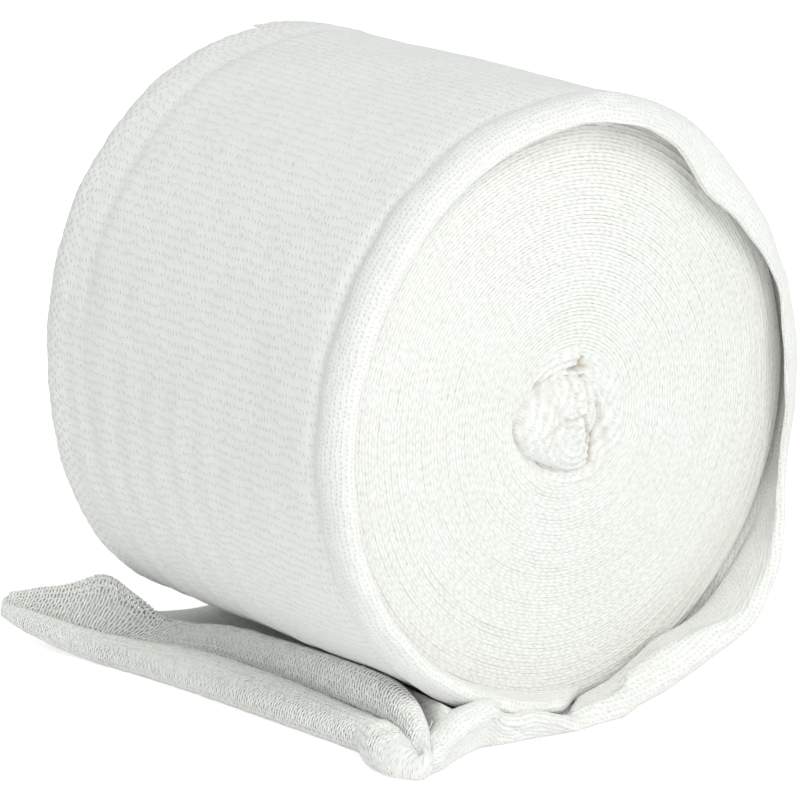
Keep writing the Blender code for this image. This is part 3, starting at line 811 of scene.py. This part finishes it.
SECTION = np.array([
    # a place in the mouth's section: shares of x_out, x_crease, x_top and thick in its x,
    # and shares of curl and z_top in its z, from the floor round the curl and over the ridge
    (0.50, 0.50, 0.00, 0.00, 0.00, 0.00), (0.86, 0.14, 0.00, 0.00, 0.12, 0.00),
    (1.00, 0.00, 0.00, 0.00, 0.48, 0.00), (0.88, 0.12, 0.00, 0.00, 0.84, 0.00),
    (0.56, 0.44, 0.00, 0.00, 1.00, 0.00), (0.20, 0.80, 0.00, 0.00, 0.88, 0.00),
    (0.00, 1.00, 0.00, 0.05, 0.56, 0.00), (0.00, 1.00, 0.00, 0.10, 0.50, 0.02),
    (0.00, 0.75, 0.25, -0.30, 0.42, 0.22), (0.00, 0.45, 0.55, -0.50, 0.20, 0.46),
    (0.00, 0.18, 0.82, -0.50, 0.04, 0.72), (0.00, 0.02, 0.98, -0.28, 0.00, 0.93),
    (0.00, 0.00, 1.00, 0.15, 0.00, 1.00), (0.00, 0.00, 1.00, 0.65, 0.00, 0.92),
    (0.00, 0.00, 1.00, 0.95, 0.00, 0.66), (0.00, 0.00, 1.00, 1.00, 0.00, 0.30),
])
BACK_Y, WRAP_END_DEG, BEND_AT, BEND_POWER = 60.5, -76.0, -50.0, 3.0
FOLD_SWELL = 0.4                        # how far a fold swells, as a share of the tube's height
PUFF_END_Y, LIP_DEPTH, LEAST_PUFF = -54.2, 7.0, 1.2
LEVEL_X, POCKET_X = 12.5, -22.0         # from and to where the tube lies flat on the floor
UNDER_FRONT_Y, TOP_GAP = -62.5, 0.4     # its front edge there, and the gap inside its mouth
SWELL, ROLL_GAP = 10.6, 0.5             # how far the cloth is pressed up, and what stays free
SWELL_FROM, SWELL_TO, SWELL_FADE = -56.0, -34.0, 11.0           # where, in y
SWELL_START, SWELL_END, LET_GO = 0.15, 0.88, 0.89       # shares of the way out to the mouth
WRAP_STEPS, FLAT_STEPS = 200, 28
OUT_RINGS, SECTION_RINGS = 24, 43       # rings out to the mouth, and round its section
CURL_END, RIDGE_END = 6.3, 6.9          # places of the section where the two layers meet
ACROSS = np.concatenate([np.linspace(0.0, 0.12, 22), np.linspace(0.14, 0.86, 46),
                         np.linspace(0.88, 1.0, 18)])
FOLD_SHARES = np.array([0.12, 0.35, 0.65, 0.88])

# %% [markdown]
# The layers are joined by folds that swell out sideways. Where the tube lies round the roll,
# the two layers are offset from one middle surface along its normal.


# %% Rings of the loose turn
def with_sides(lower, upper):
    """One loop from a lower and an upper line, with rounded folds of four points between."""
    def fold(start, end, direction):
        """The points between an end of one line and the same end of the other."""
        space = np.linalg.norm(end - start)
        points = start + (end - start) * FOLD_SHARES[:, None]
        points[:, 1] += direction * FOLD_SWELL * space * np.sin(np.pi * FOLD_SHARES)
        return points
    return np.concatenate([lower, fold(lower[-1], upper[-1], 1.0),
                           upper[::-1], fold(upper[0], lower[0], -1.0)])


def wrapped_rings():
    """Rings where the tube lies round the right side of the roll."""
    degrees = np.linspace(SKIN_DEG, WRAP_END_DEG, WRAP_STEPS)[:, None]
    front, bent_in = (from_table(degrees, FRONT_EDGE, i) for i in (1, 2))
    y = front + ACROSS * (BACK_Y - front)
    thick = loose_thickness(degrees)
    bend = np.clip((BEND_AT - y) / (BEND_AT - front), 0.0, 1.0) ** BEND_POWER
    flat = on_oval(degrees, 1.0, y)
    slack = 0.5 * ripple(flat, 18.0, 7) * smooth_step((START_DEG - degrees) / 20.0)
    slack = slack * smooth_step((-35.0 - y) / 20.0) + side_detail(flat, degrees, y)
    slack = slack + SKIN * (0.5 - 2.0 * smooth_step((degrees - SKIN_DEG + 7.0) / 7.0))
    slack = slack + 0.5 * bump_at(y, -54.0, 2.6) * smooth_step((degrees - 45.0) / 35.0)
    standing = uneven(degrees, y) + loose_stand(degrees) - thick / 2 - bent_in * bend
    middle = on_oval(degrees, 1.0, y, standing + slack)
    along, sideways = np.gradient(middle, axis=0), np.gradient(middle, axis=1)
    outward = unit(np.cross(along, sideways))
    outer = middle + outward * thick[..., None] / 2
    puffed = from_table(degrees, PUFF, 1) * puff_shape(y - front, room_to_lip(degrees, front))
    inner = middle - outward * (thick / 2 + puffed)[..., None]
    outer[..., 2] = np.maximum(outer[..., 2], 0.0)
    inner[..., 2] = np.maximum(inner[..., 2], TUBE_THICK)
    return [with_sides(low, high) for low, high in zip(outer, inner)]


def room_to_lip(degrees, front):
    """How far back from its front edge a puffed fold can go: up to the roll's lip."""
    return np.maximum(PUFF_END_Y - LIP_DEPTH * lip_at(degrees) - front, LEAST_PUFF)


def puff_shape(from_edge, reach):
    """Square root of 1 - t^6: 1 at the front edge, falling to 0 at the reach."""
    return np.sqrt(1.0 - np.clip(from_edge / reach, 0.0, 1.0) ** 6)


def turned_up(points, x):
    """Bend what lies in front of a line upwards round a radius, and let it go on straight.

    A point u beyond the line turns by u over the radius, up to the angle in the table; its
    height above the floor becomes its distance along the turned normal.
    """
    line, most = (from_table(x, UPTURN, i) for i in (1, 2))
    beyond = np.maximum(line - points[..., 1], 0.0)
    angle = np.minimum(beyond / BEND_RADIUS, np.radians(most))
    straight = beyond - BEND_RADIUS * angle
    z = points[..., 2]
    bent = points.copy()
    bent[..., 1] = line - (BEND_RADIUS - z) * np.sin(angle) - straight * np.cos(angle)
    bent[..., 2] = BEND_RADIUS - (BEND_RADIUS - z) * np.cos(angle) + straight * np.sin(angle)
    return np.where((beyond > 0.0)[..., None], bent, points)


def front_reach(x):
    """How far beyond its turning line the front edge goes."""
    return np.maximum(from_table(x, UPTURN, 3), 0.0)


def level_puff(x, from_edge):
    """How far the front fold is puffed where it lies level."""
    degrees = -90.0 + np.degrees(np.arcsin(np.clip(x / HALF_WIDTH, -1.0, 1.0)))
    reach = room_to_lip(degrees, UNDER_FRONT_Y) + 0.8 * front_reach(x)
    return np.interp(x, LEVEL_PUFF[:, 0], LEVEL_PUFF[:, 1]) * puff_shape(from_edge, reach)


def level_rings():
    """Rings where the tube lies flat on the floor under the roll."""
    x_places = np.linspace(LEVEL_X, POCKET_X, FLAT_STEPS, endpoint=False)
    lines, reaches = from_table(x_places, UPTURN, 1), front_reach(x_places)
    rings = []
    for x, line, reach in zip(x_places, lines, reaches):
        low_y = line - reach
        y = low_y + ACROSS * (BACK_Y - low_y)
        top_z = TUBE_THICK + level_puff(x, y - low_y)
        ring = with_sides(stack(x, y, 0.0), stack(x, y, top_z))
        rings.append(turned_up(ring, x))
    return rings


# %% [markdown]
# The mouth's two layers each end in a soft ridge: the lower one curls up from the floor, and
# the upper one stands behind it as a fold that bends back over its top. One section holds
# both, and its places are weighted means of a few measures that change across the mouth.

# %% Rings of the mouth
mouth_y, lift = (from_table(ACROSS, MOUTH, i) for i in (1, 8))
under_y = UNDER_FRONT_Y + ACROSS * (BACK_Y - UNDER_FRONT_Y)


def mouth_section(across, place, solid=False):
    """x and z at a place of the section: a Hermite curve through its rows.

    The rows' x is a weighted sum of x_out, x_crease, x_top and thick, and their z of curl and
    z_top; where the mesh is open the solid cloth ends lower than the yarn.
    """
    across, place = np.broadcast_arrays(across, place)
    x_out, x_crease, curl, x_top, z_top, thick, share = (
        from_table(across, MOUTH, i) for i in (2, 3, 4, 5, 6, 7, 9))
    if solid:
        x_top, z_top = x_crease + (x_top - x_crease) * share, z_top * share
    tail = (1,) * across.ndim
    weight = [SECTION[:, i].reshape(-1, *tail) for i in range(6)]
    x = weight[0] * x_out + weight[1] * x_crease + weight[2] * x_top + weight[3] * thick
    z = weight[4] * curl + weight[5] * z_top
    row = np.clip(np.floor(place).astype(int), 0, len(SECTION) - 2)
    t = np.clip(place - row, 0.0, 1.0)

    def curve(values):
        """Values at the place, from those of the rows."""
        ends = [np.take_along_axis(grid, rows[None], axis=0)[0]
                for grid in (values, np.gradient(values, axis=0)) for rows in (row, row + 1)]
        return hermite(t, 1.0, *ends)
    return curve(x), curve(z)


def mouth_rings():
    """Rings out along both layers, then round the curl below and over the ridge above."""
    last = len(SECTION) - 1
    back_x, _ = mouth_section(ACROSS, last, solid=True)
    front_x, _ = mouth_section(ACROSS, 0, solid=True)
    rings = []
    for out in np.linspace(0.0, 1.0, OUT_RINGS):
        spread = smooth_step(out)
        lower_x = POCKET_X + out * (front_x - POCKET_X)
        upper_x = POCKET_X + out * (back_x - POCKET_X)
        settled = 1.0 - smooth_step((out - LET_GO) / (1.0 - LET_GO))
        line = from_table(lower_x, UPTURN, 1)
        turned_y = line - front_reach(lower_x)
        flat_y = under_y + (mouth_y - under_y) * spread
        y = flat_y + (turned_y - flat_y)[0] * settled * (1.0 - ACROSS)
        puffed = settled * level_puff(lower_x, y - y[0])
        roll_foot = AXIS_Z - HALF_HEIGHT * np.sqrt(1.0 - (upper_x / HALF_WIDTH) ** 2)
        swell = np.minimum(roll_foot - TUBE_THICK - ROLL_GAP, SWELL)
        swell = swell * smooth_step(out / SWELL_START)
        swell = swell * bump_at(y, np.clip(y, SWELL_FROM, SWELL_TO), SWELL_FADE)
        swell = swell * (1.0 - smooth_step((out - SWELL_END) / (1.0 - SWELL_END)))
        upper_z = TUBE_THICK + np.maximum(puffed, swell) + TOP_GAP * out + lift * out ** 2
        ring = with_sides(stack(lower_x, y, lift * out ** 2), stack(upper_x, y, upper_z))
        bent = turned_up(ring, ring[:, 0])
        rings.append(ring + (bent - ring) * settled)
    for share in np.linspace(0.0, 1.0, SECTION_RINGS + 1)[1:]:
        sides = []
        for place in (CURL_END * share, last - (last - RIDGE_END) * share):
            x, z = mouth_section(ACROSS, place, solid=True)
            sides.append(stack(x, mouth_y, z + lift))
        rings.append(with_sides(*sides))
    return rings


# %% Loose turn
def flat_tube_piece(name, rings, uv):
    """Closed body from loops round a flat tube; each end is zipped shut across the tube."""
    rows, points, _ = rings.shape
    start = points - len(FOLD_SHARES) // 2
    one, other = (start + np.arange(points // 2)) % points, start - 1 - np.arange(points // 2)
    zipped = stack(one[:-1], one[1:], other[1:], other[:-1])
    faces = np.concatenate([grid_faces(rows, points, wrap_columns=True),
                            zipped[:, ::-1], zipped + (rows - 1) * points])
    wide = np.arange(rows * (points + 1)).reshape(rows, points + 1)
    caps = [wide[0][zipped[:, ::-1]], wide[-1][zipped]]
    corners = np.concatenate([grid_faces(rows, points + 1), *caps])
    return link_mesh(name, rings.reshape(-1, 3), faces, uv.reshape(-1, 2), corners)


loose_rings = np.array(wrapped_rings() + level_rings() + mouth_rings())
loose_rings[..., 2] = np.maximum(loose_rings[..., 2], 0.0)
length = way_along(loose_rings)
length = np.concatenate([length, length[:, :1]], axis=1)
GIRTH = 200 * WALE                      # once round the flat tube, both layers and the folds
round_steps = np.linalg.norm(np.diff(loose_rings, axis=1, append=loose_rings[:, :1]), axis=-1)
half = len(ACROSS) + len(FOLD_SHARES)
below = np.cumsum(round_steps[:, :half], axis=1) - round_steps[:, :half]
above = GIRTH - np.cumsum(round_steps[:, :half - 1:-1], axis=1)[:, ::-1]
girth = np.concatenate([below, above, np.full((len(loose_rings), 1), GIRTH)], axis=1)
loose_turn = flat_tube_piece("loose_turn", loose_rings, stack(length, girth))
ring_number = np.arange(len(loose_rings))[:, None]
paint_rims(loose_turn, loose_rings[..., 1], on_roll=ring_number < WRAP_STEPS,
           elsewhere=ring_number < len(loose_rings) - SECTION_RINGS)

# %% [markdown]
# ## The open mesh of the mouth
# At the cut end the stitches are pulled wide apart, and each loop of yarn can be seen. Here
# the yarn itself is modelled: every row is one long thin tube that meanders from loop to
# loop, and the rows hang in each other. The curve is a known one for plain knit: sideways it
# runs ahead and falls back twice in each stitch, while it goes once up and down.

# %% Rows of yarn loops
LOOP_STEPS, YARN_SIDES, YARN = 10, 4, 0.28      # points a stitch, sides, radius in mm
TALL, FALL_BACK, LEAN = 0.58, 0.17, -0.14       # a loop's height in courses, how far it runs
                                        # back in wales, and how far it leans out in mm
SMOOTH_END = 0.05                       # share of the mouth whose loops are felted over
RIPPLE_WALE, RIPPLE_COURSE = 1.3, 2.3   # mm a stitch, for the unevenness of the loops


def offset_surface(surface, wale, course, stand):
    """Points of a surface moved along its normal, which comes from small steps on it."""
    step = 0.05
    across = surface(wale + step, course) - surface(wale - step, course)
    upward = surface(wale, course + step) - surface(wale, course - step)
    normal = unit(np.cross(across, upward))
    return surface(wale, course) + normal * stand[..., None], normal


def tube_round(line, facing, wide):
    """Points of square tubes round lines; one pair of corners lies across the facing way."""
    ahead = np.gradient(line, axis=1)
    sideways = unit(np.cross(facing, ahead))
    upright = unit(np.cross(ahead, sideways))
    turn = np.arange(YARN_SIDES) * 2 * np.pi / YARN_SIDES
    tube = (line[:, :, None] + wide * np.cos(turn)[:, None] * sideways[:, :, None]
            + wide * np.sin(turn)[:, None] * upright[:, :, None])
    tube[..., 2] = np.maximum(tube[..., 2], 0.0)
    return tube


def knit_yarn(name, surface, rows, wales, seed, proud):
    """Closed tubes of yarn, one a row: sideways t + FALL_BACK sin(4 pi t) wales, up and down
    TALL cos(2 pi t) courses, and in and out by LEAN cos(4 pi t). Over the last few wales the
    yarn lies inside the cloth, where it is felted and shows no loops.
    """
    t = np.linspace(0, wales, wales * LOOP_STEPS + 1)[None, :]
    rows = np.arange(float(rows))[:, None]
    places = stack(t * RIPPLE_WALE, rows * RIPPLE_COURSE)
    wale = t + FALL_BACK * np.sin(4 * np.pi * t) + 0.10 * ripple(places, 7.0, seed)
    course = rows + TALL * np.cos(2 * np.pi * t) + 0.08 * ripple(places, 6.0, seed + 1)
    stand = proud + LEAN * np.cos(4 * np.pi * t) + 0.10 * ripple(places, 5.0, seed + 2)
    ragged = SMOOTH_END * wales * (1.0 + 0.5 * ripple(places, 12.0, seed + 4))
    stand = stand - (proud + 0.6) * smooth_step((wale - wales + ragged + 5.0) / 10.0)
    wide = YARN * (1.0 + 0.18 * ripple(places, 2.5, seed + 3))[..., None, None]
    return tubes_piece(name, tube_round(*offset_surface(surface, wale, course, stand), wide))


def tubes_piece(name, tube):
    """Many closed tubes as one mesh: tube holds (tubes, places along, sides, 3) in mm."""
    count, long, sides, _ = tube.shape
    wall = grid_faces(long, sides, wrap_columns=True)
    ends = np.array([np.arange(sides)[::-1], np.arange(sides) + (long - 1) * sides])
    faces = np.concatenate([wall, ends])
    faces = (np.arange(count)[:, None, None] * long * sides + faces).reshape(-1, sides)
    length = way_along(tube.mean(axis=2), axis=1)
    uv = stack(length[..., None], 0.4 * np.arange(sides))
    return link_mesh(name, tube.reshape(-1, 3), faces, uv.reshape(-1, 2), faces)


# %% Yarn of the mouth
RIDGE_WALES, RIDGE_COURSE = 84, 1.8     # stitches across, and mm a row
CURL_WALES, CURL_COURSE = 104, 1.7
FIRST_WALE = 0.72                       # the back corner's stitch, as a share of the mean
FIRST_ROW = 1.4                         # mm from an edge or the crease to the first row
CURL_FREE, RIDGE_FREE = 2.0, 3.0        # mm left without rows
CREASE_PLACE = 6.5                      # place of the section where the ridge begins
places = np.linspace(0.0, len(SECTION) - 1.0, 400)
travelled = way_along(stack(*mouth_section(0.4, places)))
crease_mm = float(np.interp(CREASE_PLACE, places, travelled))
CURL_ROWS = round((crease_mm - CURL_FREE) / CURL_COURSE)
RIDGE_ROWS = round((travelled[-1] - crease_mm - RIDGE_FREE) / RIDGE_COURSE)
print("rows of loops on the curl and the ridge:", CURL_ROWS, RIDGE_ROWS)


def mouth_surface(first_mm, wales, course_mm):
    """A surface over the mouth's section, counted in stitches across and rows round.

    The stitches widen evenly from the back corner: share times (first + (1 - first) share).
    """
    def surface(wale, course):
        """Points at these stitches and rows."""
        share = wale / wales
        across = np.clip(1.0 - share * (FIRST_WALE + (1.0 - FIRST_WALE) * share), 0.0, 1.0)
        place = np.interp(first_mm + course * course_mm, travelled, places)
        x, z = mouth_section(across, place)
        y, lift = (from_table(across, MOUTH, i) for i in (1, 8))
        return stack(x, y, z + lift)
    return surface


ridge = mouth_surface(crease_mm + FIRST_ROW, RIDGE_WALES, RIDGE_COURSE)
curl = mouth_surface(FIRST_ROW, CURL_WALES, CURL_COURSE)
lip_yarn = knit_yarn("lip_yarn", ridge, RIDGE_ROWS, RIDGE_WALES, 70, 0.42)
curl_yarn = knit_yarn("curl_yarn", curl, CURL_ROWS, CURL_WALES, 80, 0.40)

# %% [markdown]
# A cut edge of knit sheds short ends of yarn. A few stand up along the ridge and at the
# front corner, each a thin tube that starts on the ridge and curls over.

# %% Loose threads
THREADS = np.array([
    # share across from the back corner, mm up from the ridge's first row, which way it
    # points (x, y, z), its length in mm, and how far it curls over
    (0.125, 14.4, -0.2, 0.3, 1.0, 2.6, 1.4), (0.161, 14.4, 0.1, -0.2, 1.0, 1.6, 0.8),
    (0.208, 14.4, 0.4, -0.9, 0.3, 2.6, -1.0), (0.094, 14.4, -0.5, 0.4, 0.8, 1.4, 0.6),
    (0.260, 16.0, 0.7, -0.7, 0.5, 3.6, -1.2), (0.323, 16.0, 0.6, 0.2, 0.6, 1.8, 0.8),
    (0.031, 12.8, -0.8, 0.7, 0.2, 1.6, 0.6), (0.010, 9.6, -0.7, 0.9, -0.2, 1.4, 0.5),
    (0.990, 12.8, 0.8, -0.5, 0.6, 2.6, 1.2), (0.979, 16.0, 1.0, -0.2, 0.3, 2.8, -1.0),
    (0.995, 8.0, 0.7, -0.9, 0.2, 2.2, 0.9), (0.969, 19.2, 0.9, -0.3, -0.2, 2.4, 1.1),
    (0.990, 20.8, 1.0, -0.6, 0.1, 3.0, -1.2), (0.958, 16.0, 0.7, -0.2, 0.8, 2.0, 0.8),
])
THREAD, ASIDE = 0.17, (0.0, 1.0, 0.2)   # a thread's radius in mm, and the way it curls across
along = np.linspace(0.0, 1.0, 12)[None, :, None]
starts = ridge(THREADS[:, 0] * RIDGE_WALES, THREADS[:, 1] / RIDGE_COURSE)[:, None]
ways = unit(THREADS[:, None, 2:5])
curls = np.cross(ways, ASIDE) * THREADS[:, 6, None, None]
thread_line = starts + ways * along * THREADS[:, 5, None, None] + curls * along ** 2
loose_threads = tubes_piece("loose_threads", tube_round(thread_line, ASIDE, THREAD))

# %% [markdown]
# ## Finish of the cloth pieces, light and floor
# Soft studio light: a white surround, a broad lamp high in front and a weak one low on the
# left. To the camera the paper and the surround look brighter than the light they give.

# %% Materials on the pieces
def dress(piece, material, slot, *nodes):
    """Give a piece its material and its place in the frame."""
    piece.data.materials.append(material)
    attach(piece, "root")
    if nodes:
        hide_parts(*nodes)


dress(wound_side, outer_cotton, "wound_jersey", "roll")
dress(front_face, face_cotton, "wound_jersey")
dress(back_face, face_cotton, "wound_jersey")
dress(knotted_centre, knot_cotton, "wound_jersey")
dress(loose_turn, outer_cotton, "loose_jersey", "loose_end")
dress(lip_yarn, yarn_cotton, "loose_jersey")
dress(curl_yarn, yarn_cotton, "loose_jersey")
dress(loose_threads, yarn_cotton, "loose_jersey")

# %% Floor and light
def brighter_when_seen(tree, socket, base, extra):
    """Feed a strength that is higher for the camera than for the light it gives the cloth."""
    path = tree.nodes.new("ShaderNodeLightPath")
    feed(tree, socket, add_math(tree, "MULTIPLY_ADD", path.outputs["Is Camera Ray"], extra, base))


FLOOR_REACH = 4.0
floor_data = bpy.data.meshes.new("floor")
floor_data.from_pydata([(-FLOOR_REACH, -FLOOR_REACH, 0), (FLOOR_REACH, -FLOOR_REACH, 0),
                        (FLOOR_REACH, FLOOR_REACH, 0), (-FLOOR_REACH, FLOOR_REACH, 0)],
                       [], [(0, 1, 2, 3)])
floor = link_object("floor", floor_data)
paper = bpy.data.materials.new("white_paper")
paper.use_nodes = True
paper_inputs = paper.node_tree.nodes["Principled BSDF"].inputs
paper_inputs["Base Color"].default_value = (0.94, 0.94, 0.94, 1)
paper_inputs["Roughness"].default_value = 1.0
paper_inputs["Emission Color"].default_value = (1, 1, 1, 1)
brighter_when_seen(paper.node_tree, paper_inputs["Emission Strength"], 0.13, 0.4)
floor_data.materials.append(paper)

world = bpy.data.worlds.new("white_surround")
world.use_nodes = True
colour, strength = world.node_tree.nodes["Background"].inputs[:2]
colour.default_value = (0.95, 1.0, 0.985, 1.0)
brighter_when_seen(world.node_tree, strength, 0.62, 0.5)
bpy.context.scene.world = world


def area_lamp(name, place, size, power, colour):
    """A square soft lamp that faces the roll's middle."""
    data = bpy.data.lights.new(name, "AREA")
    data.size, data.energy, data.color = size, power, colour
    lamp = link_object(name, data)
    lamp.location = place
    lamp.rotation_euler = (Vector(place) - Vector((0, 0, AXIS_Z * MM))).to_track_quat(
        "Z", "Y").to_euler()


area_lamp("key_lamp", (-0.2, -1.3, 1.2), 1.0, 15.0, (1.0, 0.99, 0.975))
area_lamp("low_fill", (-0.9, -1.0, 0.08), 0.8, 2.0, (0.97, 1.0, 1.0))
bpy.context.scene.view_settings.view_transform = "Standard"
